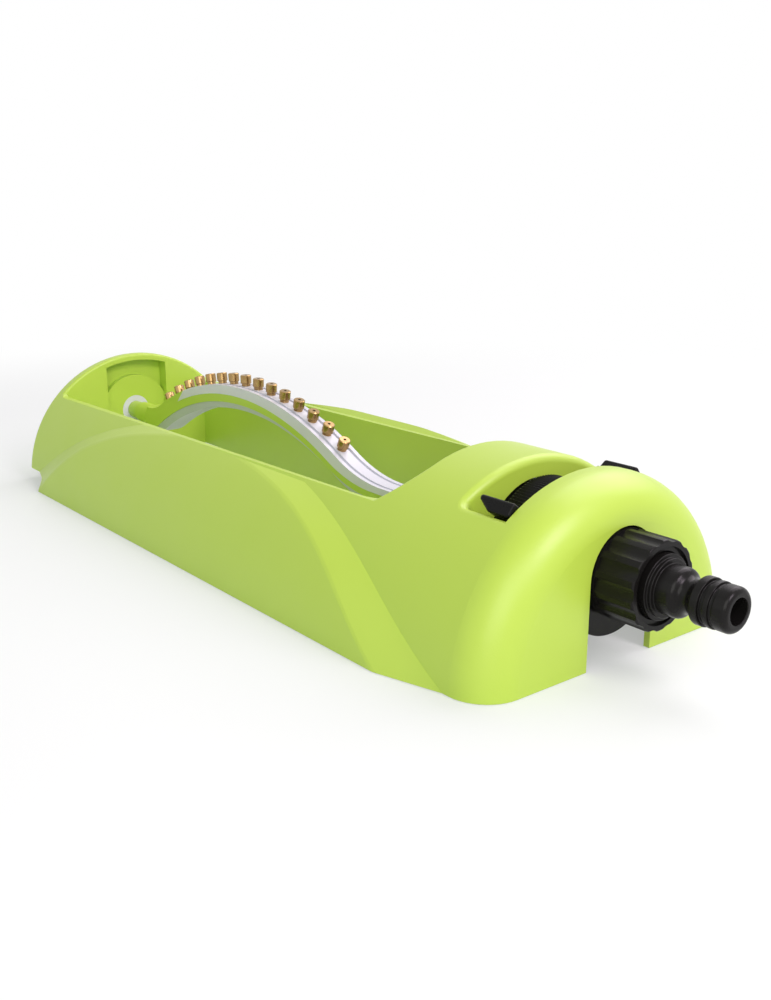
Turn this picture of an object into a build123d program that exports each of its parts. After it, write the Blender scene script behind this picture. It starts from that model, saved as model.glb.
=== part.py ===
"""Oscillating lawn sprinkler: a half-round hull with an open tray, a water motor in its vault and a curved
spray arm. Millimetres, +X towards the hose, +Z up, origin on the ground under the middle of the whole."""
from build123d import *
import os
from math import asin, cos, degrees, hypot, pi, radians, sin, sqrt

# Hull: a half-round shell whose axis lies on the ground, open below
hull_length = 383.0
hull_radius = 67.0
hull_wall = 2.6
front_round = 16.0
end_round = 6.0
notch_length = 34.5
notch_height = 6.5
notch_round = 5.0

# Proud side panels: a wider half-round kept below an arch that grows towards the hull
panel_proud = 8.2
panel_drop = 5.3
panel_shift = 7.0
panel_outer_gap = 0.8
panel_outer_half = 148.0
panel_crest_slope = 0.31
panel_inner_lap = 1.14
panel_inner_half = 249.0
panel_inner_rise = 5.0
panel_inner_slope = 0.55
panel_crease_round = 4.0

# Tray between the vault and the end wall
rim_rise = 13.6
rim_vault_rise = 2.3
tray_front = 73.0
tray_corner = 25.0
tray_skin = 2.2
tray_skin_foot = 3.0
end_depth = 10.7
end_sweep = 4.0
tray_edge_round = 1.5

# Pocket in the end wall, with the boss of the arm's far bearing
pocket_half = 19.1
pocket_top_gap = 3.6
pocket_floor_gap = 1.0
pocket_depth = 8.0
boss_radius = 21.0
boss_length = 4.0
bush_radius = 8.5
bush_wall = 3.4

# Slot over the range rings, with a wall round it and a rounded edge at its rear and sides
slot_front = 19.6
slot_rear = 43.0
slot_half_angle = 34.4
slot_corner = 3.5
slot_wall = 2.4
slot_wall_depth = 18.0
slot_edge_round = 3.0
slot_lip_spare = 0.6

# Water motor on the arm's axis
axis_drop = 34.0
cutout_radius = 17.2
cap_proud = 0.4
cap_front = 4.5
cap_thickness = 4.5
seal_thickness = 1.0
barrel_radius = 24.0
barrel_wall = 2.4
barrel_end = 58.0
collar_rise = 1.6
collar_width = 1.3
register_length = 2.0
register_wall = 2.0
rear_cap_thickness = 3.0
hub_wall = 1.5
hub_length = 10.0
lip_seal_width = 2.0
lip_seal_length = 4.0
running_clearance = 0.08
end_play = 0.4

# Inlet: threaded spigot, nut and click-type nose
spigot_radius = 13.2
spigot_bore = 9.5
spigot_reach = 10.4
washer_thickness = 1.5
flange_radius = 12.9
flange_thickness = 1.3
nut_radius = 16.4
nut_rear = 3.0
nut_reach = 17.0
nut_lip_radius = 12.2
nut_recess_radius = 14.0
nut_recess_depth = 1.3
nut_flutes = 14
flute_depth = 0.9
flute_radius = 5.0
flute_margin = 3.6
nut_edge = 0.8
nut_front_round = 0.8
strainer_depth = 3.4
strainer_thickness = 1.2
strainer_hole = 1.5
strainer_ring = 5.6
strainer_holes = 7
nose_reach = 46.7
nose_bore = 4.7
nose_collar_radius = 11.8
nose_collar_reach = 18.3
nose_step_radius = 10.5
nose_step_reach = 19.8
nose_body_radius = 8.9
nose_body_reach = 26.0
nose_neck_radius = 6.1
nose_neck_start = 28.0
nose_neck_end = 30.8
nose_waist_round = 2.6
nose_ring_radius = 8.5
nose_ring_start = 33.3
nose_ring_end = 36.2
nose_groove_radius = 7.3
nose_second_start = 38.0
nose_second_end = 40.0
nose_second_radius = 8.2
nose_tip_start = 41.4
nose_tip_radius = 8.0
nose_tip_round = 2.2

# Fixing of the motor in the vault
strap_front = 44.0
strap_width = 10.0
strap_thickness = 2.5
strap_screw_offset = 10.0
strap_lug_margin = 5.0
boss_post_radius = 4.5
strap_screw_radius = 1.7
strap_screw_depth = 10.0
strap_head_radius = 3.4
strap_head_height = 2.2
ear_angles = (15.0, -25.0, 165.0, 205.0)
ear_offset = 2.5
ear_radius = 3.5
ear_length = 5.0
casing_screw_radius = 1.5
casing_head_radius = 2.8
casing_head_height = 1.4

# Gear train on two fixed pins, one central and one below it that stands behind the turbine
gear_clearance = 0.96
wheel_teeth = 20
pinion_teeth = 10
pin_radius = 1.0
wheel_width = 3.0
pinion_width = 5.0
stage_step = 4.6
jet_plate_thickness = 1.5
jet_radius = 1.5
jet_pitch = 4.4
flap_front_gap = 0.7
flap_thickness = 1.4
flap_half = 1.6
flap_length = 7.0
turbine_gap = 0.8
turbine_clearance = 1.5
turbine_hub_radius = 4.2
turbine_width = 4.6
turbine_disc = 1.0
turbine_blades = 12
blade_thickness = 1.0
gear_gap = 1.0
gear_plate_thickness = 1.5
tooth_tip_share = 0.15
tooth_pitch_share = 0.38
tooth_root_share = 0.48
tooth_addendum = 0.8
tooth_dedendum = 1.15

# Drive sleeve between the gears and the arm
sleeve_wall = 3.0
output_gear_rim = 2.08
sleeve_port_radius = 2.2
clip_thickness = 1.5
clip_height = 2.0
socket_gap = 8.5
socket_wall = 2.5
socket_depth = 12.0
socket_floor = 4.0

# Reversing lever
trip_spindle_radius = 1.5
trip_hub_gap = 1.6
trip_hub_clearance = 1.5
trip_gap = 2.0
trip_lever_thickness = 3.0
trip_lever_half = 2.2
trip_toe_gap = 1.8
trip_toe_thickness = 2.4
trip_toe_reach = 15.0
trip_hub_radius = 3.5

# Range rings with their tabs
ring_stop = 40.5
ring_thickness = 3.2
ring_ridges = 120
ridge_depth = 0.4
tab_proud = 10.2
tab_thickness = 5.5
tab_length = 19.5
tab_slant = 9.0
tab_bar_depth = 4.2
tab_round = 1.2
near_tab_angle = 55.5
far_tab_angle = 53.5
far_bar_overhang = 2.6

# Spray arm: straight ends on the axis and a long crowned bow between them
arm_far_gap = 31.0
arm_far_straight = 6.0
arm_near_straight = 35.7
arm_rise = 25.75
arm_far_turn = 35.0
arm_near_turn = 80.0
arm_top = 6.25
body_width = 12.4
rail_width = 12.8
strip_width = 11.6
channel_depth = 2.4
channel_width = 7.0
channel_offset = -0.6
top_line = (arm_top, arm_top, 4.0)
bottom_line = (-7.5, -5.0, -6.25)
bottom_lean = -5.0
strip_line = (-9.0, -2.5, -2.2)
strip_lean = 0.0
rail_line = (3.0, 1.3, 1.0)
rail_lean = 2.0
rail_far_gap = 52.0
rail_groove_inner = 2.9
rail_groove_outer = 4.4
rail_groove_depth = 1.3
journal_end_gap = 0.5
neck_radius = 5.9
neck_length = 14.0
neck_taper = 8.0

# Spray nozzles
nozzle_count = 15
nozzle_far_overrun = 1.7
nozzle_near_overrun = 3.6
nozzle_radius = 2.75
nozzle_height = 5.6
nozzle_neck_radius = 2.2
nozzle_neck_height = 1.2
nozzle_stem_radius = 1.4
nozzle_hole_radius = 0.7

# Places and sizes worked out from the sizes above
front_x = (hull_length - nose_reach) / 2
rear_x = front_x - hull_length
beyond = 2 * hull_radius
axis_height = hull_radius - axis_drop
rim_height = axis_height + rim_rise
rim_vault_height = rim_height + rim_vault_rise
tray_half = sqrt((hull_radius - hull_wall) ** 2 - rim_height ** 2)
rim_outer_half = sqrt(hull_radius ** 2 - rim_height ** 2)
rim_width = rim_outer_half - tray_half
rim_middle_height = (rim_height + rim_vault_height) / 2
panel_middle = hull_length / 2 + panel_shift
panel_radius = hull_radius + panel_proud
panel_outer_y = panel_radius + panel_outer_gap
panel_inner_y = rim_outer_half - panel_inner_lap
panel_inner_crest = rim_height + panel_inner_rise
panel_outer_crest = panel_inner_crest - panel_crest_slope * (panel_outer_y - panel_inner_y)
pocket_top_radius = hull_radius - pocket_top_gap
pocket_floor_height = axis_height - boss_radius - pocket_floor_gap
slot_foot_radius = hull_radius - slot_wall_depth
slot_lip = slot_edge_round + slot_lip_spare
end_face_x = rear_x + end_depth
pocket_floor_x = end_face_x - pocket_depth
cap_rear = cap_front + cap_thickness
cap_radius = barrel_radius + cap_proud
collar_radius = barrel_radius + collar_rise
ring_radius = barrel_radius + ring_thickness
ear_pitch_radius = barrel_radius + ear_offset
strap_screw_y = barrel_radius + strap_screw_offset
strap_lug_end = strap_screw_y + strap_lug_margin
barrel_front = cap_rear + seal_thickness
barrel_bore = barrel_radius - barrel_wall
gear_module = (barrel_bore - gear_clearance) / (wheel_teeth + pinion_teeth / 2 + tooth_addendum)
lay_height = axis_height - gear_module * (wheel_teeth + pinion_teeth) / 2
trip_spindle_offset = barrel_bore - trip_hub_radius - trip_hub_gap
trip_height = axis_height + trip_spindle_offset
trip_lever_top = axis_height + barrel_radius + trip_toe_gap + trip_toe_thickness
turbine_radius = trip_spindle_offset - trip_spindle_radius - turbine_clearance
hub_radius = trip_spindle_offset - trip_hub_radius - trip_hub_clearance
lip_seal_radius = hub_radius - hub_wall
sleeve_radius = lip_seal_radius - lip_seal_width
sleeve_bore = sleeve_radius - sleeve_wall
sleeve_stub_radius = gear_module * (wheel_teeth / 2 - tooth_dedendum) - output_gear_rim
clip_radius = sleeve_radius + clip_height
socket_radius = sleeve_radius + socket_wall
tab_tip_radius = axis_drop + tab_proud
jet_front = barrel_front + register_length
flap_front = jet_front + jet_plate_thickness + flap_front_gap
turbine_front = flap_front + flap_thickness + turbine_gap
turbine_pinion_front = turbine_front + turbine_width
gear_1_front = turbine_pinion_front + gear_gap
gear_2_front = gear_1_front + stage_step
gear_3_front = gear_2_front + stage_step
output_front = gear_3_front + stage_step
gear_plate_front = gear_3_front + wheel_width + pinion_width + gear_gap
sleeve_front = gear_plate_front + gear_plate_thickness + end_play
rear_cap_end = barrel_end + rear_cap_thickness
hub_end = rear_cap_end + hub_length
socket_front = hub_end + end_play + clip_thickness + socket_gap
sleeve_end = socket_front + socket_depth
arm_near_end = sleeve_end + socket_floor
ring_start = slot_front + end_play
ring_width = (ring_stop - slot_front - 3 * end_play) / 2
nut_seat = spigot_reach + washer_thickness + flange_thickness + end_play
arm_far_end = hull_length - arm_far_gap
arm_span = arm_far_end - arm_far_straight - arm_near_end - arm_near_straight
arm_far_span = arm_span / 2 + arm_rise * (arm_far_turn - arm_near_turn) / arm_span
arm_near_span = arm_span - arm_far_span
arm_radius = (arm_far_span ** 2 + arm_rise ** 2) / (2 * arm_rise) - arm_far_turn
arm_middle = arm_far_end - arm_far_straight - arm_far_span
rail_far_end = arm_far_end - rail_far_gap
journal_radius = bush_radius - bush_wall - running_clearance
nozzle_far_reach = arm_far_span * arm_radius / (arm_radius + arm_far_turn) + nozzle_far_overrun
nozzle_near_reach = arm_near_span * arm_radius / (arm_radius + arm_near_turn) + nozzle_near_overrun
nozzle_pitch = (nozzle_far_reach + nozzle_near_reach) / (nozzle_count - 1)


def back(depth):
    """X of a place that lies this far behind the hull's front face."""
    return front_x - depth


def rod(x_start, x_end, radius, y=0.0, z=axis_height):
    """Round bar along X between two places."""
    bar = Cylinder(radius, x_end - x_start, align=(Align.CENTER, Align.CENTER, Align.MIN))
    return Pos(x_start, y, z) * Rot(0, 90, 0) * bar


def ring(x_start, x_end, outer, inner, y=0.0, z=axis_height):
    """Round tube along X between two places."""
    return rod(x_start, x_end, outer, y, z) - rod(x_start, x_end, inner, y, z)


def slab(x_start, x_end, y_start, y_end, z_start, z_end):
    """Upright block between two corners."""
    block = Box(x_end - x_start, y_end - y_start, z_end - z_start, align=(Align.MIN, Align.MIN, Align.MIN))
    return Pos(x_start, y_start, z_start) * block


def side_plane(y=0.0):
    """Drawing plane seen from the -Y side: local x is X and local y is Z."""
    return Plane(origin=(0, y, 0), x_dir=(1, 0, 0), z_dir=(0, -1, 0))


def cross_plane(x, y=0.0, z=axis_height):
    """Drawing plane across the axis: local x is Y and local y is Z."""
    return Plane(origin=(x, y, z), x_dir=(0, 1, 0), z_dir=(1, 0, 0))


def across(face, width):
    """Side-view face given a width, half on each side of the middle plane."""
    return extrude(side_plane() * face, width / 2, both=True)


def turned(points, z=0.0):
    """Solid of revolution about the X line at height z, from (x, radius) points."""
    outline = make_face(Polyline(*points, close=True))
    return Pos(0, 0, z) * revolve(side_plane() * outline, Axis.X)


def hull_form(inset):
    """Half-round body of the hull, drawn in by the inset on every side."""
    body = rod(rear_x + inset, front_x - inset, hull_radius - inset, z=0)
    front_edge = body.edges().filter_by(GeomType.CIRCLE).sort_by(Axis.X)[-1]
    body = fillet(front_edge, front_round - inset)
    rear_edge = body.edges().filter_by(GeomType.CIRCLE).sort_by(Axis.X)[0]
    return fillet(rear_edge, end_round - inset)


def arch_face(y, half, crest, inset):
    """Area under a panel's arch, in the upright plane at y."""
    left = back(panel_middle) - half + inset
    right = back(panel_middle) + half - inset
    arch = ThreePointArc((left, 0), (back(panel_middle), crest - inset), (right, 0))
    foot = Polyline((right, 0), (right, -hull_radius / 2), (left, -hull_radius / 2), (left, 0))
    return side_plane(y) * make_face([arch, foot])


def panel_form(inset):
    """The two proud side panels, drawn in by the inset."""
    wide = rod(rear_x + end_round, front_x - front_round, panel_radius - inset, z=-panel_drop)
    outer = arch_face(-panel_outer_y, panel_outer_half, panel_outer_crest, inset)
    inner = arch_face(-panel_inner_y, panel_inner_half, panel_inner_crest, inset)
    panel = wide & loft([outer, inner], ruled=True) & under_inner_face(inset)
    creases = panel.edges().filter_by(lambda edge: edge.bounding_box().size.Z > rim_height / 2
                                      and edge.bounding_box().size.X > panel_outer_half / 2
                                      and edge.bounding_box().max.Y < -panel_inner_y)
    panel = fillet(creases, panel_crease_round)
    return panel + mirror(panel, Plane.XZ)


def under_inner_face(inset):
    """Room below the sloping face that runs from the rim up to the -Y panel's crest."""
    rim_z = rim_middle_height - inset * sqrt(1 + panel_inner_slope ** 2)
    middle_z = rim_z - panel_inner_slope * rim_outer_half
    side_z = middle_z + panel_inner_slope * beyond
    outline = Polyline((-beyond, -beyond), (-beyond, side_z), (0, middle_z), (0, -beyond), close=True)
    return extrude(cross_plane(rear_x, z=0) * make_face(outline), hull_length)


def tray_plan(half, corner):
    """Plan of the tray, square at the end wall and rounded towards the vault."""
    length = back(tray_front) - end_face_x
    plan = Pos(end_face_x, 0) * Rectangle(length, 2 * half, align=(Align.MIN, Align.CENTER))
    return fillet(plan.vertices().sort_by(Axis.X)[-2:], corner)


def tray_cut():
    """Everything above the rim between the vault's rear edge and the end wall, and the well within."""
    top = 2 * hull_radius
    side = Polyline((end_face_x, top), (end_face_x, rim_height), (back(tray_front), rim_vault_height),
                    (front_x, rim_vault_height), (front_x, top), close=True)
    side_face = make_face(side)
    side_face = fillet(side_face.vertices().sort_by(Axis.Y)[0], end_sweep)
    above_rim = across(side_face, 2 * beyond) & extrude(tray_plan(rim_outer_half, tray_corner), top)
    well = extrude(tray_plan(tray_half, tray_corner - rim_width), top)
    return above_rim + Pos(0, 0, rim_height) * well


def tray_edges(shell):
    """Upper edges of the tray's outline on the hull's skin, at the end wall and round the vault's back."""
    near = hull_wall / 2

    def on_skin(edge):
        middle = edge @ 0.5
        return middle.Z > rim_vault_height and abs(hypot(middle.Y, middle.Z) - hull_radius) < near

    skin_edges = shell.edges().filter_by(on_skin)
    end_edges = skin_edges.filter_by_position(Axis.X, end_face_x - near, end_face_x + near)
    return end_edges + skin_edges.filter_by_position(Axis.X, back(tray_front + tray_corner), back(tray_front))


def pocket(x_start, x_end, grow):
    """Pocket of the end wall, made larger by grow."""
    half = pocket_half + grow
    block = slab(x_start, x_end, -half, half, pocket_floor_height - grow, hull_radius)
    return block & rod(x_start, x_end, pocket_top_radius + grow, z=0)


def slot_room(grow):
    """Slot over the range rings with sides that point at the hull's axis, made larger by grow."""
    rear = back(slot_rear + grow)
    front = back(slot_front - grow)
    half_angle = slot_half_angle + degrees(grow / hull_radius)
    outline = Polyline((rear, slot_foot_radius), (rear, beyond), (front, beyond), (front, slot_foot_radius),
                       close=True)
    sector = revolve(side_plane() * make_face(outline), Axis.X, revolution_arc=2 * half_angle)
    room = Rot(-half_angle, 0, 0) * sector
    rear_corners = room.edges().filter_by(GeomType.LINE).group_by(Axis.X)[0]
    return fillet(rear_corners, slot_corner + grow)


def slot_wall_ring():
    """Wall round the slot, thicker under its rounded edge and open where the motor barrel passes under it."""
    rear = back(slot_rear + slot_lip)
    wall = slot_room(slot_wall) + (slot_room(slot_lip) - rod(rear, front_x, hull_radius - slot_lip, z=0))
    wall = (wall - slot_room(0)) & hull_form(0)
    return wall - rod(rear, front_x, collar_radius + end_play)


def slot_edges(shell):
    """Upper edges of the slot on the hull's skin, at its rear and its two sides."""
    near = hull_wall / 2

    def on_skin(edge):
        middle = edge @ 0.5
        along_slot = back(slot_rear) - near < middle.X < back(slot_front) - near
        off_skin = max(abs(hypot(end.Y, end.Z) - hull_radius) for end in (edge @ 0, edge @ 1))
        return along_slot and middle.Z > rim_vault_height and off_skin < running_clearance

    return shell.edges().filter_by(on_skin)


def base_shell():
    """One-piece moulded hull."""
    outer = hull_form(0) + panel_form(0)
    shell = outer - hull_form(hull_wall) - panel_form(hull_wall)
    shell -= tray_cut()
    side_skin = slab(end_face_x - tray_skin, back(tray_front + tray_corner / 2), -tray_half - tray_skin,
                     -tray_half, tray_skin_foot, rim_height)
    end_skin = slab(end_face_x - tray_skin, end_face_x, -tray_half - tray_skin, tray_half + tray_skin,
                    notch_height, hull_radius)
    end_skin += pocket(pocket_floor_x - tray_skin, end_face_x, tray_skin)
    posts = [Pos(back(strap_front + strap_width / 2), side * strap_screw_y, axis_height)
             * Cylinder(boss_post_radius, hull_radius, align=(Align.CENTER, Align.CENTER, Align.MIN))
             for side in (-1, 1)]
    inside = side_skin + mirror(side_skin, Plane.XZ) + end_skin + posts
    shell += inside & hull_form(hull_wall / 2)
    shell -= pocket(pocket_floor_x, end_face_x + tray_skin, 0)
    boss = rod(pocket_floor_x, pocket_floor_x + boss_length, boss_radius)
    shell += boss & pocket(pocket_floor_x, end_face_x, 0)
    shell -= rod(pocket_floor_x, end_face_x, bush_radius)
    shell -= slot_room(0)
    shell += slot_wall_ring()
    cutout = rod(front_x - 2 * hull_wall, front_x + hull_wall, cutout_radius)
    cutout += slab(front_x - 2 * hull_wall, front_x + hull_wall, -cutout_radius, cutout_radius,
                   -hull_radius, axis_height)
    shell -= cutout
    notch = slab(rear_x - hull_wall, rear_x + notch_length, -beyond, beyond, -hull_radius, notch_height)
    notch_edge = notch.edges().filter_by(Axis.Y).group_by(Axis.Z)[-1].sort_by(Axis.X)[-1]
    shell -= fillet(notch_edge, notch_round)
    for side in (-1, 1):
        shell -= strap_screw(side)
    shell -= slab(rear_x - beyond, front_x + beyond, -beyond, beyond, -beyond, 0)
    shell = fillet(slot_edges(shell), slot_edge_round)
    return fillet(tray_edges(shell), tray_edge_round)


def strap_screw(side):
    """One screw of the motor strap, driven up into its post."""
    x = back(strap_front + strap_width / 2)
    head_top = axis_height - strap_thickness
    shank_length = strap_thickness + strap_screw_depth
    foot = (Align.CENTER, Align.CENTER, Align.MIN)
    shank = Pos(x, side * strap_screw_y, head_top) * Cylinder(strap_screw_radius, shank_length, align=foot)
    head_low = head_top - strap_head_height
    head = Pos(x, side * strap_screw_y, head_low) * Cylinder(strap_head_radius, strap_head_height, align=foot)
    return shank + head


def motor_cradle():
    """Strap under the motor barrel with a lug on each side."""
    x_start = back(strap_front + strap_width)
    x_end = back(strap_front)
    low = axis_height - strap_thickness
    band = rod(x_start, x_end, barrel_radius + strap_thickness)
    lugs = slab(x_start, x_end, -strap_lug_end, strap_lug_end, low, axis_height)
    strap = (band & slab(x_start, x_end, -beyond, beyond, 0, axis_height)) + lugs
    strap -= rod(x_start, x_end, barrel_radius)
    for side in (-1, 1):
        strap -= strap_screw(side)
    return strap


def far_bearing_bush():
    """Bush in the end wall's boss."""
    return ring(pocket_floor_x, pocket_floor_x + boss_length, bush_radius, bush_radius - bush_wall)


def casing_screw(angle):
    """One screw through the front cap's ear into the barrel's ear."""
    y = ear_pitch_radius * cos(radians(angle))
    z = axis_height + ear_pitch_radius * sin(radians(angle))
    shank = rod(back(barrel_front + ear_length), back(cap_front), casing_screw_radius, y, z)
    return shank + rod(back(cap_front), back(cap_front - casing_head_height), casing_head_radius, y, z)


def ears(x_start, x_end):
    """Round ears for the casing screws."""
    places = [(ear_pitch_radius * cos(radians(angle)), axis_height + ear_pitch_radius * sin(radians(angle)))
              for angle in ear_angles]
    return [rod(x_start, x_end, ear_radius, y, z) for y, z in places]


def casing_screws():
    """The four screws of the front cap."""
    return [casing_screw(angle) for angle in ear_angles]


def motor_front_cap():
    """Front cap with the threaded inlet spigot and a register lip inside the barrel."""
    cap = rod(back(cap_rear), back(cap_front), cap_radius) + ears(back(cap_rear), back(cap_front))
    cap += rod(back(cap_front), front_x + spigot_reach, spigot_radius)
    cap += rod(back(jet_front), back(cap_rear), barrel_bore)
    cap -= rod(back(jet_front), back(cap_rear), barrel_bore - register_wall)
    cap -= rod(back(cap_rear), front_x + spigot_reach, spigot_bore)
    return cap - casing_screws()


def casing_seal():
    """Flat seal between front cap and barrel."""
    seal = ring(back(barrel_front), back(cap_rear), barrel_radius, barrel_bore)
    return seal - casing_screws()


def motor_barrel():
    """Barrel of the motor, with a collar at each end of the range rings."""
    barrel = rod(back(barrel_end), back(barrel_front), barrel_radius)
    barrel += ears(back(barrel_front + ear_length), back(barrel_front))
    barrel += rod(back(slot_front), back(slot_front - collar_width), collar_radius)
    barrel += rod(back(ring_stop + collar_width), back(ring_stop), collar_radius)
    barrel -= rod(back(barrel_end), back(barrel_front), barrel_bore)
    return barrel - casing_screws()


def motor_rear_cap():
    """Rear cap with the bearing of the drive sleeve."""
    cap = rod(back(rear_cap_end), back(barrel_end), barrel_radius)
    cap += rod(back(hub_end), back(rear_cap_end), hub_radius)
    cap -= rod(back(hub_end), back(barrel_end), sleeve_radius + running_clearance)
    cap -= rod(back(hub_end), back(hub_end - lip_seal_length), lip_seal_radius)
    spindle_bore = trip_spindle_radius + running_clearance
    return cap - rod(back(rear_cap_end), back(barrel_end), spindle_bore, z=trip_height)


def sleeve_seal():
    """Lip seal in the rear cap's hub."""
    inner = sleeve_radius + running_clearance
    return ring(back(hub_end), back(hub_end - lip_seal_length), lip_seal_radius, inner)


def gear_pins():
    """Central pin from the jet plate into the sleeve's stub, and the lower pin on the gear plate."""
    central = rod(back(output_front + wheel_width), back(jet_front), pin_radius)
    lower_front = back(gear_1_front - gear_gap / 2)
    lower = rod(back(gear_plate_front + gear_plate_thickness), lower_front, pin_radius, z=lay_height)
    return [central, lower]


def jet_plate():
    """Plate with the two jets that drive the turbine either way round."""
    plate = rod(back(jet_front + jet_plate_thickness), back(jet_front), barrel_bore)
    jet_height = trip_height - flap_length + jet_radius
    for side in (-1, 1):
        y = side * jet_pitch / 2
        plate -= rod(back(jet_front + jet_plate_thickness), back(jet_front), jet_radius, y, jet_height)
    return plate - gear_pins()


def gear_plate():
    """Rear plate that holds the lower pin."""
    front = back(gear_plate_front)
    rear = back(gear_plate_front + gear_plate_thickness)
    plate = rod(rear, front, barrel_bore)
    plate -= rod(rear, front, sleeve_stub_radius + end_play)
    plate -= rod(rear, front, trip_spindle_radius + end_play, z=trip_height)
    return plate - gear_pins()


def inlet_washer():
    """Flat washer between spigot and nose."""
    start = front_x + spigot_reach
    return ring(start, start + washer_thickness, flange_radius, spigot_bore)


def inlet_strainer():
    """Perforated disc in the spigot."""
    end = front_x + spigot_reach - strainer_depth
    disc = rod(end - strainer_thickness, end, spigot_bore)
    disc -= rod(end - strainer_thickness, end, strainer_hole)
    for step in range(strainer_holes):
        angle = 2 * pi * step / strainer_holes
        y = strainer_ring * cos(angle)
        z = axis_height + strainer_ring * sin(angle)
        disc -= rod(end - strainer_thickness, end, strainer_hole, y, z)
    return disc


def hose_nose():
    """Click-type nose held by its flange under the nut's lip."""
    flange_start = spigot_reach + washer_thickness
    flange_end = flange_start + flange_thickness
    steps = [(flange_start, nose_bore), (flange_start, flange_radius), (flange_end, flange_radius),
             (flange_end, nose_collar_radius), (nose_collar_reach, nose_collar_radius),
             (nose_collar_reach, nose_step_radius), (nose_step_reach, nose_step_radius),
             (nose_step_reach, nose_body_radius), (nose_body_reach, nose_body_radius),
             (nose_neck_start, nose_neck_radius), (nose_neck_end, nose_neck_radius),
             (nose_ring_start, nose_ring_radius), (nose_ring_end, nose_ring_radius),
             (nose_ring_end, nose_groove_radius), (nose_second_start, nose_groove_radius),
             (nose_second_start, nose_second_radius), (nose_second_end, nose_second_radius),
             (nose_second_end, nose_groove_radius), (nose_tip_start, nose_groove_radius),
             (nose_tip_start, nose_tip_radius), (nose_reach, nose_tip_radius), (nose_reach, nose_bore)]
    outline = make_face(Polyline(*[(front_x + reach, radius) for reach, radius in steps], close=True))
    waist = outline.vertices().filter_by_position(Axis.X, front_x + nose_body_reach, front_x + nose_neck_end)
    outline = fillet(waist, nose_waist_round)
    nose = Pos(0, 0, axis_height) * revolve(side_plane() * outline, Axis.X)
    tip_edge = nose.edges().filter_by(GeomType.CIRCLE).group_by(Axis.X)[-1].sort_by(SortBy.RADIUS)[-1]
    return fillet(tip_edge, nose_tip_round)


def hose_nut():
    """Ribbed swivel nut, its thread shown as a plain bore."""
    rear = back(nut_rear)
    nut = rod(rear, front_x + nut_reach, nut_radius)
    nut = fillet(nut.edges().filter_by(GeomType.CIRCLE).sort_by(Axis.X)[-1], nut_front_round)
    nut = chamfer(nut.edges().filter_by(GeomType.CIRCLE).sort_by(Axis.X)[0], nut_edge)
    nut -= rod(rear, front_x + nut_seat, spigot_radius + running_clearance)
    nut -= rod(rear, front_x + nut_reach, nut_lip_radius)
    nut -= rod(front_x + nut_reach - nut_recess_depth, front_x + nut_reach, nut_recess_radius)
    flute_centre = nut_radius + flute_radius - flute_depth
    for step in range(nut_flutes):
        angle = 2 * pi * step / nut_flutes
        y = flute_centre * cos(angle)
        z = axis_height + flute_centre * sin(angle)
        nut -= rod(rear + flute_margin, front_x + nut_reach, flute_radius, y, z)
    return nut


def gear_face(teeth, first_angle):
    """Outline of a spur gear with slim straight-sided teeth and room for play."""
    pitch_radius = gear_module * teeth / 2
    root = pitch_radius - tooth_dedendum * gear_module
    tip = pitch_radius + tooth_addendum * gear_module
    flank = ((root, -tooth_root_share), (pitch_radius, -tooth_pitch_share), (tip, -tooth_tip_share),
             (tip, tooth_tip_share), (pitch_radius, tooth_pitch_share), (root, tooth_root_share))
    points = []
    for tooth in range(teeth):
        middle = radians(first_angle) + 2 * pi * tooth / teeth
        points += [(radius * cos(middle + share * pi / teeth), radius * sin(middle + share * pi / teeth))
                   for radius, share in flank]
    return make_face(Polyline(*points, close=True))


def gear_solid(teeth, depth, width, height):
    """Spur gear along X. A gear on the central pin points a tooth at the lower pin, the others a gap back."""
    if height == axis_height:
        first_angle = -90.0
    else:
        first_angle = 90.0 + 180.0 / teeth
    return extrude(cross_plane(back(depth), z=height) * gear_face(teeth, first_angle), -width)


def pin_bore(depth, length, height):
    """Running bore for a gear pin."""
    return rod(back(depth + length), back(depth), pin_radius + running_clearance, z=height)


def compound_gear(depth, height):
    """Wheel with its pinion behind it."""
    wheel = gear_solid(wheel_teeth, depth, wheel_width, height)
    pinion = gear_solid(pinion_teeth, depth + wheel_width, pinion_width, height)
    return wheel + pinion - pin_bore(depth, wheel_width + pinion_width, height)


def turbine():
    """Bladed wheel with its pinion."""
    front = back(turbine_front)
    rear = back(turbine_front + turbine_width)
    wheel = rod(rear, front, turbine_hub_radius)
    wheel += rod(rear, rear + turbine_disc, turbine_radius)
    blade = slab(rear, front, -blade_thickness / 2, blade_thickness / 2, 0, turbine_radius - blade_thickness)
    for step in range(turbine_blades):
        wheel += Pos(0, 0, axis_height) * Rot(360 * step / turbine_blades, 0, 0) * blade
    wheel += gear_solid(pinion_teeth, turbine_pinion_front, pinion_width, axis_height)
    return wheel - pin_bore(turbine_front, turbine_width + pinion_width, axis_height)


def output_gear():
    """Wheel pressed on the sleeve's stub."""
    wheel = gear_solid(wheel_teeth, output_front, wheel_width, axis_height)
    return wheel - rod(back(output_front + wheel_width), back(output_front), sleeve_stub_radius)


def drive_sleeve():
    """Hollow sleeve from the output gear to the arm, with water ports inside the motor."""
    sleeve = rod(back(sleeve_end), back(sleeve_front), sleeve_radius)
    sleeve += rod(back(sleeve_front), back(output_front), sleeve_stub_radius)
    bore_front = sleeve_front + sleeve_bore / 2
    sleeve -= rod(back(sleeve_end), back(bore_front), sleeve_bore)
    port_x = back(bore_front + 2 * sleeve_port_radius)
    for angle in (0, 90):
        port = Rot(angle, 0, 0) * Cylinder(sleeve_port_radius, 3 * sleeve_radius)
        sleeve -= Pos(port_x, 0, axis_height) * port
    pin_room = wheel_width + end_play
    return sleeve - pin_bore(output_front, pin_room, axis_height)


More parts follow.
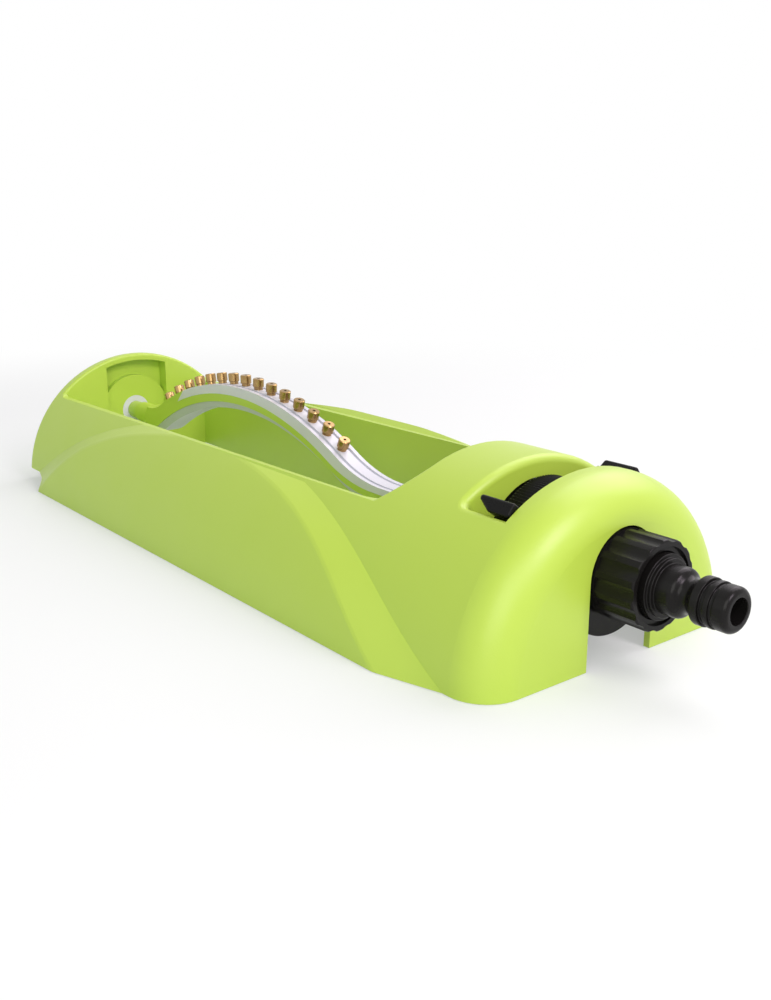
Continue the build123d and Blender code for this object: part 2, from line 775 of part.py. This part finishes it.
def sleeve_clip():
    """Clip behind the rear cap that keeps the sleeve from pulling out."""
    front = hub_end + end_play
    return ring(back(front + clip_thickness), back(front), clip_radius, sleeve_radius)


def trip_spindle():
    """Spindle that links the reversing lever with the jet flap."""
    end = rear_cap_end + trip_gap + trip_lever_thickness
    return rod(back(end), back(flap_front), trip_spindle_radius, z=trip_height)


def jet_flap():
    """Flap that swings between the two jets."""
    front = back(flap_front)
    rear = back(flap_front + flap_thickness)
    flap = slab(rear, front, -flap_half, flap_half, trip_height - flap_length, trip_height)
    flap += rod(rear, front, trip_hub_radius, z=trip_height)
    return flap - trip_spindle()


def trip_lever():
    """Reversing lever behind the motor, with a toe that points forward over the barrel."""
    front = rear_cap_end + trip_gap
    rear = front + trip_lever_thickness
    lever = slab(back(rear), back(front), -trip_lever_half, trip_lever_half, trip_height, trip_lever_top)
    lever += rod(back(rear), back(front), trip_hub_radius, z=trip_height)
    lever += slab(back(front), back(front) + trip_toe_reach, -trip_lever_half, trip_lever_half,
                  trip_lever_top - trip_toe_thickness, trip_lever_top)
    return lever - trip_spindle()


def ridged_face():
    """Outline of a range ring with fine ridges."""
    points = []
    for step in range(2 * ring_ridges):
        radius = ring_radius - ridge_depth * (step % 2)
        angle = pi * step / ring_ridges
        points.append((radius * cos(angle), radius * sin(angle)))
    return make_face(Polyline(*points, close=True))


def range_tab(ring_depth, bar_depth, angle):
    """Range ring with a slanted finger bar on a root as wide as the ring, on the -Y side."""
    front = back(ring_depth)
    rear = back(ring_depth + ring_width)
    band = extrude(cross_plane(front) * ridged_face(), -ring_width)
    band -= rod(rear, front, barrel_radius + running_clearance)
    half = tab_thickness / 2
    bar_foot = tab_tip_radius - tab_bar_depth
    bar_front = back(bar_depth)
    bar_end = back(bar_depth + tab_length)
    outline = Polyline((bar_front, half), (bar_end, half), (bar_end + tab_slant, -half), (bar_front, -half),
                       close=True)
    outline = make_face(outline)
    bar = extrude(Pos(0, 0, bar_foot) * fillet(outline.vertices(), tab_round), tab_bar_depth)
    bar = fillet(bar.edges().group_by(Axis.Z)[-1], tab_round)
    root = slab(rear, front, -half, half, barrel_radius + barrel_wall / 2, bar_foot)
    return band + Pos(0, 0, axis_height) * Rot(angle, 0, 0) * (bar + root)


def near_tab():
    """Front range ring, with its bar on the -Y side running back from the ring's front face."""
    return range_tab(ring_start, ring_start, near_tab_angle)


def far_tab():
    """Rear range ring, with its bar on the +Y side running forward over the front ring."""
    ring_depth = ring_start + ring_width + end_play
    bar_depth = ring_depth + ring_width + far_bar_overhang - tab_length
    return mirror(range_tab(ring_depth, bar_depth, far_tab_angle), Plane.XZ)


def arm_line(offsets, lean=0.0):
    """Side-view line along the arm: straight, turned up, bowed, turned back and straight again.

    The offsets lift the line off the arm's middle line at its far end, crown and near end. A lean moves the
    bow towards the far end, so that the line climbs through the arm there.
    """
    far_offset, crown_offset, near_offset = offsets
    bow_x = back(arm_middle + lean)
    bow_z = axis_height + arm_rise - arm_radius
    bow = arm_radius + crown_offset
    far_z = axis_height + far_offset
    near_z = axis_height + near_offset
    far_turn = arm_far_turn - far_offset
    near_turn = arm_near_turn - near_offset
    far_x = bow_x - sqrt((bow + far_turn) ** 2 - (far_z + far_turn - bow_z) ** 2)
    near_x = bow_x + sqrt((bow + near_turn) ** 2 - (near_z + near_turn - bow_z) ** 2)
    far_slope = asin((bow_x - far_x) / (bow + far_turn))
    near_slope = asin((near_x - bow_x) / (bow + near_turn))
    far_join = (bow_x - bow * sin(far_slope), bow_z + bow * cos(far_slope))
    near_join = (bow_x + bow * sin(near_slope), bow_z + bow * cos(near_slope))
    far_mid = (far_x + far_turn * sin(far_slope / 2), far_z + far_turn * (1 - cos(far_slope / 2)))
    near_mid = (near_x - near_turn * sin(near_slope / 2), near_z + near_turn * (1 - cos(near_slope / 2)))
    far_end = (back(arm_far_end), far_z)
    near_end = (back(arm_near_end), near_z)
    return [Line(far_end, (far_x, far_z)),
            ThreePointArc((far_x, far_z), far_mid, far_join),
            ThreePointArc(far_join, (bow_x, bow_z + bow), near_join),
            ThreePointArc(near_join, near_mid, (near_x, near_z)),
            Line((near_x, near_z), near_end)]


def arm_band(low_line, high_line):
    """Side-view area between two arm lines."""
    far_side = Line(low_line[0] @ 0, high_line[0] @ 0)
    near_side = Line(low_line[-1] @ 1, high_line[-1] @ 1)
    return make_face(low_line + high_line + [far_side, near_side])


def below(line):
    """Side-view area from an arm line down to the ground."""
    far_end = line[0] @ 0
    near_end = line[-1] @ 1
    foot = Polyline(far_end, (far_end.X, 0), (near_end.X, 0), near_end)
    return make_face(line + [foot])


def nozzle_places():
    """Angle of each nozzle on the bow, for even steps along X at half the nozzles' height."""
    bow = arm_radius + arm_top + nozzle_height / 2
    for step in range(nozzle_count):
        yield degrees(asin((nozzle_near_reach - nozzle_pitch * step) / bow))


def on_bow(solid, angle):
    """Solid drawn upright on top of the crown, moved along the bow by the angle."""
    bow_z = axis_height + arm_rise - arm_radius
    return Pos(back(arm_middle), 0, bow_z) * Rot(0, angle, 0) * Pos(0, 0, arm_radius + arm_top) * solid


def nozzle_stems():
    """Holes in the arm for the nozzles' stems."""
    length = arm_top - channel_offset
    stem = Cylinder(nozzle_stem_radius, length, align=(Align.CENTER, Align.CENTER, Align.MAX))
    return [on_bow(stem, angle) for angle in nozzle_places()]


def spray_nozzles():
    """Turned brass nozzles, each a head on a short neck with its stem in the arm."""
    low = (Align.CENTER, Align.CENTER, Align.MIN)
    high = (Align.CENTER, Align.CENTER, Align.MAX)
    stem_length = arm_top - channel_offset
    nozzle = Cylinder(nozzle_neck_radius, nozzle_neck_height, align=low)
    head_height = nozzle_height - nozzle_neck_height
    head = Pos(0, 0, nozzle_neck_height) * Cylinder(nozzle_radius, head_height, align=low)
    head = chamfer(head.edges().filter_by(GeomType.CIRCLE), nozzle_hole_radius / 2)
    nozzle += head + Cylinder(nozzle_stem_radius, stem_length, align=high)
    nozzle -= Cylinder(nozzle_hole_radius, stem_length, align=high)
    nozzle -= Cylinder(nozzle_hole_radius, nozzle_height, align=low)
    return [on_bow(nozzle, angle) for angle in nozzle_places()]


def whole_arm_face():
    """Side view of the whole arm between its straight ends."""
    return arm_band(arm_line(bottom_line, bottom_lean), arm_line(top_line))


def strip_face():
    """Side view of the strip along the underside."""
    return whole_arm_face() & below(arm_line(strip_line, strip_lean))


def rail_face():
    """Side view of the rail on top, which ends in a slanted tip on the far slope."""
    tip_x = back(rail_far_end)
    tip_z = axis_height + arm_rise
    reach = hull_radius
    near_part = Polyline((tip_x - reach, tip_z - reach), (tip_x + reach, tip_z + reach),
                         (front_x, tip_z + reach), (front_x, tip_z - reach), close=True)
    return (whole_arm_face() - below(arm_line(rail_line, rail_lean))) & make_face(near_part)


def far_end_trim():
    """What is turned off the arm's square far end so that it runs into the round neck."""
    start = back(arm_far_end)
    end = back(arm_far_end - neck_taper)
    reach = 2 * arm_top
    cone = turned([(start, 0), (start, neck_radius), (end, reach), (end, 0)], axis_height)
    return slab(start, end, -reach, reach, axis_height - reach, axis_height + reach) - cone


def arm_body():
    """Lime body of the arm with the waterway, the socket for the sleeve and the far journal."""
    body = across(whole_arm_face() - rail_face() - strip_face(), body_width) - far_end_trim()
    body += rod(back(arm_near_end), back(socket_front), socket_radius)
    body += rod(back(arm_far_end + neck_length), back(arm_far_end), neck_radius)
    body += rod(pocket_floor_x + journal_end_gap, back(arm_far_end), journal_radius)
    half = channel_depth / 2
    low_line = arm_line([channel_offset - half] * 3)
    high_line = arm_line([channel_offset + half] * 3)
    body -= across(arm_band(low_line, high_line), channel_width)
    body -= rod(back(sleeve_end), back(socket_front), sleeve_radius)
    body -= rod(back(arm_near_end), back(sleeve_end), channel_depth / 2)
    return body - nozzle_stems()


def arm_rail():
    """Light grey rail on top of the arm, with a groove on each side of the nozzles' rib."""
    floor_line = arm_line([offset - rail_groove_depth for offset in top_line])
    groove_band = arm_band(floor_line, arm_line([offset + arm_top for offset in top_line]))
    grooves = across(groove_band, 2 * rail_groove_outer) - across(groove_band, 2 * rail_groove_inner)
    return across(rail_face(), rail_width) - grooves - nozzle_stems()


def arm_lower_strip():
    """Grey strip along the arm's underside."""
    return across(strip_face(), strip_width) - far_end_trim()


nodes = {
    "base_shell": base_shell,
    "motor_cradle": motor_cradle,
    "cradle_screws": lambda: [strap_screw(side) for side in (-1, 1)],
    "far_bearing_bush": far_bearing_bush,
    "motor_front_cap": motor_front_cap,
    "casing_seal": casing_seal,
    "motor_barrel": motor_barrel,
    "motor_rear_cap": motor_rear_cap,
    "sleeve_seal": sleeve_seal,
    "casing_screws": casing_screws,
    "jet_plate": jet_plate,
    "gear_plate": gear_plate,
    "gear_pins": gear_pins,
    "inlet_washer": inlet_washer,
    "inlet_strainer": inlet_strainer,
    "hose_nose": hose_nose,
    "hose_nut": hose_nut,
    "turbine": turbine,
    "gear_1": lambda: compound_gear(gear_1_front, lay_height),
    "gear_2": lambda: compound_gear(gear_2_front, axis_height),
    "gear_3": lambda: compound_gear(gear_3_front, lay_height),
    "output_gear": output_gear,
    "drive_sleeve": drive_sleeve,
    "sleeve_clip": sleeve_clip,
    "trip_spindle": trip_spindle,
    "jet_flap": jet_flap,
    "trip_lever": trip_lever,
    "near_tab": near_tab,
    "far_tab": far_tab,
    "arm_body": arm_body,
    "arm_rail": arm_rail,
    "arm_lower_strip": arm_lower_strip,
    "spray_nozzles": spray_nozzles,
}

os.makedirs("parts", exist_ok=True)
for node, build in nodes.items():
    shape = build()
    solids = shape if isinstance(shape, list) else [shape]
    export_step(Compound([solid for piece in solids for solid in piece.solids()]), f"parts/{node}.step")
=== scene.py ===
from math import radians

import bmesh
import bpy
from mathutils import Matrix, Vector


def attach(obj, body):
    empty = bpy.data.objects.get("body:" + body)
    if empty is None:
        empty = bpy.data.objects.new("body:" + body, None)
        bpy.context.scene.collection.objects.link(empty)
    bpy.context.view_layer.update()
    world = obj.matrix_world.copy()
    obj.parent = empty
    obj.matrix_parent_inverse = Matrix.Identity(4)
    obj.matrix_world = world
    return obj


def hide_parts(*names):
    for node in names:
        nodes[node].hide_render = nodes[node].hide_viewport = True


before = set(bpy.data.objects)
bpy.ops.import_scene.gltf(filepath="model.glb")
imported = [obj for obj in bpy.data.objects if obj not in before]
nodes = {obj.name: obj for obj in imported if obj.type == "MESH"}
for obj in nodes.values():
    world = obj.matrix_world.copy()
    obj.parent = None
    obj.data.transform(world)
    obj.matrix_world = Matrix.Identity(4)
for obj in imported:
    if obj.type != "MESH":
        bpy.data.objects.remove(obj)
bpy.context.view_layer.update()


# The body: one deep moulding in lime polypropylene with a domed motor end, a long tray
# and two proud side panels. It has the fine even grain of its mould and a satin shine,
# and its colour drifts slightly where it flowed. The arm's core is moulded alike.
class Wire:
    """An output socket of a finish: arithmetic on wires adds Math nodes."""

    def __init__(self, tree, socket=None):
        self.tree = tree
        self.socket = socket

    def node(self, kind, settings, inputs, output=0):
        """Adds a node of any kind, sets it up and returns one of its outputs."""
        made = self.tree.nodes.new(kind)
        for setting, value in settings.items():
            setattr(made, setting, value)
        for name, value in inputs.items():
            if isinstance(value, Wire):
                self.tree.links.new(value.socket, made.inputs[name])
            else:
                made.inputs[name].default_value = value
        return Wire(self.tree, made.outputs[output]) if made.outputs else None

    def maths(self, operation, first, second):
        """Adds a Math node that works on two wires or numbers."""
        return self.node("ShaderNodeMath", {"operation": operation}, {0: first, 1: second})

    def __add__(self, other):
        return self.maths("ADD", self, other)

    def __radd__(self, other):
        return self.maths("ADD", other, self)

    def __sub__(self, other):
        return self.maths("SUBTRACT", self, other)

    def __rsub__(self, other):
        return self.maths("SUBTRACT", other, self)

    def __mul__(self, other):
        return self.maths("MULTIPLY", self, other)

    def __rmul__(self, other):
        return self.maths("MULTIPLY", other, self)


def new_finish(name):
    """An empty material, as the start of its wires."""
    finish = bpy.data.materials.new(name)
    finish.use_nodes = True
    finish.node_tree.nodes.clear()
    return finish, Wire(finish.node_tree)


def close_finish(start, shader):
    """Makes a shader the surface of its material."""
    start.node("ShaderNodeOutputMaterial", {}, {"Surface": shader})


def mixed(first, second, share):
    """A colour between two colours, by a share from 0 to 1."""
    first_socket = 6
    second_socket = 7
    colour_output = 2
    return share.node(
        "ShaderNodeMix",
        {"data_type": "RGBA"},
        {"Factor": share, first_socket: first, second_socket: second},
        output=colour_output,
    )


noise_middle = 0.5


def noise(start, per_metre, detail):
    """Even noise through the piece, from 0 to 1 about its middle."""
    place = start.node("ShaderNodeTexCoord", {}, {}, output="Object")
    return start.node(
        "ShaderNodeTexNoise", {}, {"Vector": place, "Scale": per_metre, "Detail": detail}
    )


def moulded_plastic(name, colour, drift_colour, roughness, grain, shine):
    """Injection-moulded plastic: slow colour drift, fine mould grain, smudged shine."""
    grain_height = 0.00008
    smudge_share = 0.14
    pore_share = 0.05
    finish, start = new_finish(name)
    drift = noise(start, per_metre=14.0, detail=3.0)
    smudge = noise(start, per_metre=55.0, detail=4.0)
    pores = noise(start, per_metre=1600.0, detail=2.0)
    relief = start.node(
        "ShaderNodeBump", {}, {"Strength": grain, "Distance": grain_height, "Height": pores}
    )
    unevenness = smudge_share * (smudge - noise_middle) + pore_share * (pores - noise_middle)
    shader = start.node(
        "ShaderNodeBsdfPrincipled",
        {},
        {
            "Base Color": mixed(colour, drift_colour, drift),
            "Roughness": roughness + unevenness,
            "Specular IOR Level": shine,
            "Normal": relief,
        },
    )
    close_finish(start, shader)
    return finish


def dress(finish, *names):
    """Puts a finish on CAD nodes that keep their own shape."""
    for name in names:
        for slot in nodes[name].material_slots:
            slot.material = finish


lime_plastic = moulded_plastic(
    "lime_plastic",
    colour=(0.47, 0.655, 0.072, 1.0),
    drift_colour=(0.45, 0.64, 0.066, 1.0),
    roughness=0.40,
    grain=0.25,
    shine=0.6,
)
dress(lime_plastic, "base_shell", "arm_body")

# The motor's casing and the strap that is screwed up into the vault to hold it, the
# sleeve that turns the arm and the lever that reverses it: black nylon mouldings.
black_nylon = moulded_plastic(
    "black_nylon",
    colour=(0.0065, 0.006, 0.0055, 1.0),
    drift_colour=(0.009, 0.0085, 0.008, 1.0),
    roughness=0.25,
    grain=0.2,
    shine=0.14,
)
dress(
    black_nylon, "motor_front_cap", "motor_barrel", "motor_rear_cap", "motor_cradle",
    "drive_sleeve", "trip_lever",
)

# The wheels, plates and flap of the water motor: white acetal mouldings, hidden by the
# casing. The turbine and the gears run on steel pins, the output gear is pressed on
# the sleeve, and the plates sit in the barrel.
white_acetal = moulded_plastic(
    "white_acetal",
    colour=(0.74, 0.74, 0.71, 1.0),
    drift_colour=(0.68, 0.68, 0.64, 1.0),
    roughness=0.38,
    grain=0.1,
    shine=0.5,
)
dress(
    white_acetal, "jet_plate", "gear_plate", "turbine", "gear_1", "gear_2", "gear_3",
    "output_gear", "jet_flap",
)

# The casing's seal, the sleeve's lip seal and the inlet washer: soft matt rubber,
# moulded as rings and squeezed between the pieces that they seal.
rubber = moulded_plastic(
    "rubber",
    colour=(0.020, 0.020, 0.020, 1.0),
    drift_colour=(0.028, 0.027, 0.026, 1.0),
    roughness=0.7,
    grain=0.4,
    shine=0.3,
)
dress(rubber, "casing_seal", "sleeve_seal", "inlet_washer")


# The screws, pins, spindle, clip and strainer: plain stainless steel, turned or
# stamped, with the thin uneven film that water leaves.
def turned_metal(name, colour, tarnish_colour, roughness):
    """Lathe-turned metal with patchy tarnish."""
    tarnish_share = 0.2
    finish, start = new_finish(name)
    tarnish = noise(start, per_metre=420.0, detail=4.0)
    shader = start.node(
        "ShaderNodeBsdfPrincipled",
        {},
        {
            "Base Color": mixed(colour, tarnish_colour, tarnish),
            "Metallic": 1.0,
            "Roughness": roughness + tarnish_share * (tarnish - noise_middle),
        },
    )
    close_finish(start, shader)
    return finish


steel = turned_metal(
    "steel",
    colour=(0.62, 0.62, 0.62, 1.0),
    tarnish_colour=(0.5, 0.5, 0.5, 1.0),
    roughness=0.3,
)
dress(
    steel, "casing_screws", "cradle_screws", "gear_pins", "trip_spindle", "sleeve_clip",
    "inlet_strainer",
)


# The hose end: a swivel nut with grip ribs and the click nose that takes a hose
# coupling, both moulded in black nylon, with edges a little rounded by the mould.
def softened(node, body, finish, width, sharp_degrees):
    """Puts a merged copy of a CAD node, with its sharp edges rounded, in the node's place."""
    merge_gap = 1e-6
    flat_degrees = 0.5
    round_steps = 3
    form = bmesh.new()
    form.from_mesh(nodes[node].data)
    bmesh.ops.remove_doubles(form, verts=form.verts, dist=merge_gap)
    bmesh.ops.dissolve_limit(
        form, angle_limit=radians(flat_degrees), verts=form.verts, edges=form.edges
    )
    sharp = [
        edge for edge in form.edges
        if edge.is_manifold and edge.calc_face_angle() > radians(sharp_degrees)
    ]
    bmesh.ops.bevel(
        form, geom=sharp, offset=width, offset_type="OFFSET", affect="EDGES",
        segments=round_steps, profile=0.5, material=-1, clamp_overlap=True,
    )
    skin = bpy.data.meshes.new(node + "_soft")
    form.to_mesh(skin)
    form.free()
    skin.shade_smooth()
    skin.set_sharp_from_angle(angle=radians(sharp_degrees))
    skin.materials.append(finish)
    piece = bpy.data.objects.new(node + "_soft", skin)
    bpy.context.scene.collection.objects.link(piece)
    even = piece.modifiers.new("even_normals", "WEIGHTED_NORMAL")
    even.keep_sharp = True
    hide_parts(node)
    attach(piece, body)


softened("hose_nut", "nut", black_nylon, width=0.00025, sharp_degrees=32.0)
softened("hose_nose", "base", black_nylon, width=0.0004, sharp_degrees=32.0)

# The two range tabs: black acetal rings with fine ridges and a chunky finger bar, which
# turn on the motor's barrel. They are moulded with less grain than the nut.
black_acetal = moulded_plastic(
    "black_acetal",
    colour=(0.005, 0.005, 0.0045, 1.0),
    drift_colour=(0.007, 0.007, 0.0065, 1.0),
    roughness=0.28,
    grain=0.08,
    shine=0.10,
)
dress(black_acetal, "near_tab", "far_tab")

# The spray arm's pale rail, fixed on top of the lime core, and the far bearing's bush
# in the end wall: light grey polypropylene mouldings, satin.
grey_plastic = moulded_plastic(
    "grey_plastic",
    colour=(0.70, 0.72, 0.76, 1.0),
    drift_colour=(0.66, 0.68, 0.72, 1.0),
    roughness=0.36,
    grain=0.15,
    shine=0.45,
)
dress(grey_plastic, "far_bearing_bush")
softened("arm_rail", "arm", grey_plastic, width=0.0006, sharp_degrees=40.0)

# The strip under the arm: a grey moulding, a little darker than the rail, fixed along
# the underside of the lime core.
strip_plastic = moulded_plastic(
    "strip_plastic",
    colour=(0.50, 0.55, 0.52, 1.0),
    drift_colour=(0.46, 0.51, 0.48, 1.0),
    roughness=0.42,
    grain=0.2,
    shine=0.4,
)
dress(strip_plastic, "arm_lower_strip")

# The fifteen spray nozzles: turned brass, pressed through the rail into the arm, with
# a thin brown tarnish in patches.
brass = turned_metal(
    "brass",
    colour=(0.52, 0.35, 0.15, 1.0),
    tarnish_colour=(0.25, 0.15, 0.06, 1.0),
    roughness=0.26,
)
dress(brass, "spray_nozzles")

# The stage: a wide pale floor that keeps the shadow and fades to plain white away
# from the part, and a white room behind it.
floor_drop = 0.0003
floor_reach = 6.0
shadow_reach = 0.35
fade_reach = 0.75
near_glow = 0.4
floor_colour = (0.85, 0.91, 0.87, 1.0)
white = (1.0, 1.0, 1.0, 1.0)


def looked_at(start):
    """One where the camera sees a surface, directly or in a gloss or a glass, else nought."""
    seen = start.node("ShaderNodeLightPath", {}, {}, output="Is Camera Ray")
    mirrored = start.node("ShaderNodeLightPath", {}, {}, output="Is Glossy Ray")
    through = start.node("ShaderNodeLightPath", {}, {}, output="Is Transmission Ray")
    return seen + mirrored + through


bpy.ops.mesh.primitive_plane_add(size=2 * floor_reach, location=(0.0, 0.0, -floor_drop))
floor = bpy.context.object
floor.name = "floor"
floor_finish, start = new_finish("pale_floor")
place = start.node("ShaderNodeTexCoord", {}, {}, output="Object")
distance = start.node(
    "ShaderNodeVectorMath", {"operation": "LENGTH"}, {0: place}, output="Value"
)
fade = start.node(
    "ShaderNodeMapRange",
    {"interpolation_type": "SMOOTHSTEP"},
    {"Value": distance, "From Min": shadow_reach, "From Max": fade_reach},
)
pale = start.node("ShaderNodeBsdfDiffuse", {}, {"Color": floor_colour})
glow = start.node("ShaderNodeEmission", {}, {"Color": white, "Strength": 1.0})
share = looked_at(start) * (near_glow + (1.0 - near_glow) * fade)
both = start.node("ShaderNodeMixShader", {}, {0: share, 1: pale, 2: glow})
close_finish(start, both)
floor.data.materials.append(floor_finish)

world = bpy.data.worlds.new("white_room")
bpy.context.scene.world = world
world.use_nodes = True
world.node_tree.nodes.clear()
room = Wire(world.node_tree)
room_light = 0.26
strength = room_light + (1.0 - room_light) * looked_at(room)
background = room.node("ShaderNodeBackground", {}, {"Color": white, "Strength": strength})
room.node("ShaderNodeOutputWorld", {}, {"Surface": background})


# The light: a key beyond the hose end, a broad lamp high on the far side that lays a
# pale sheen on the upper faces, and two weaker lamps on the near side, all soft.
def soft_lamp(name, place, size, watts, colour):
    """A square lamp that faces the middle of the part."""
    aim_height = 0.03
    aim = Vector((0.0, 0.0, aim_height))
    lamp = bpy.data.lights.new(name, "AREA")
    lamp.shape = "SQUARE"
    lamp.size = size
    lamp.energy = watts
    lamp.color = colour
    holder = bpy.data.objects.new(name, lamp)
    holder.location = place
    holder.rotation_euler = (aim - Vector(place)).to_track_quat("-Z", "Y").to_euler()
    bpy.context.scene.collection.objects.link(holder)


soft_lamp("key", (1.25, 0.10, 0.95), size=0.5, watts=10.5, colour=(1.0, 0.85, 0.98))
soft_lamp("far_high", (0.0, 1.0, 1.2), size=1.4, watts=19.0, colour=(1.0, 0.90, 0.98))
soft_lamp("near_front", (1.1, -0.9, 0.7), size=1.0, watts=9.5, colour=(1.0, 0.98, 0.94))
soft_lamp("near_fill", (-0.2, -1.3, 0.7), size=1.2, watts=1.7, colour=(1.0, 1.0, 1.0))

# The camera: low beyond the hose end on the near side, half a metre from the middle of
# the part, with a normal lens. It looks a little downwards, slantwise along the hull.
lens_mm = 39.57
sensor_mm = 36.0
camera_place = Vector((0.39949, -0.29104, 0.16302))
camera_looks = Vector((-0.75174, 0.59961, -0.27452))
camera_data = bpy.data.cameras.new("camera")
camera_data.lens = lens_mm
camera_data.sensor_width = sensor_mm
camera = bpy.data.objects.new("camera", camera_data)
camera.location = camera_place
camera.rotation_euler = camera_looks.to_track_quat("-Z", "Y").to_euler()
bpy.context.scene.collection.objects.link(camera)
bpy.context.scene.camera = camera
bpy.context.scene.view_settings.view_transform = "Standard"
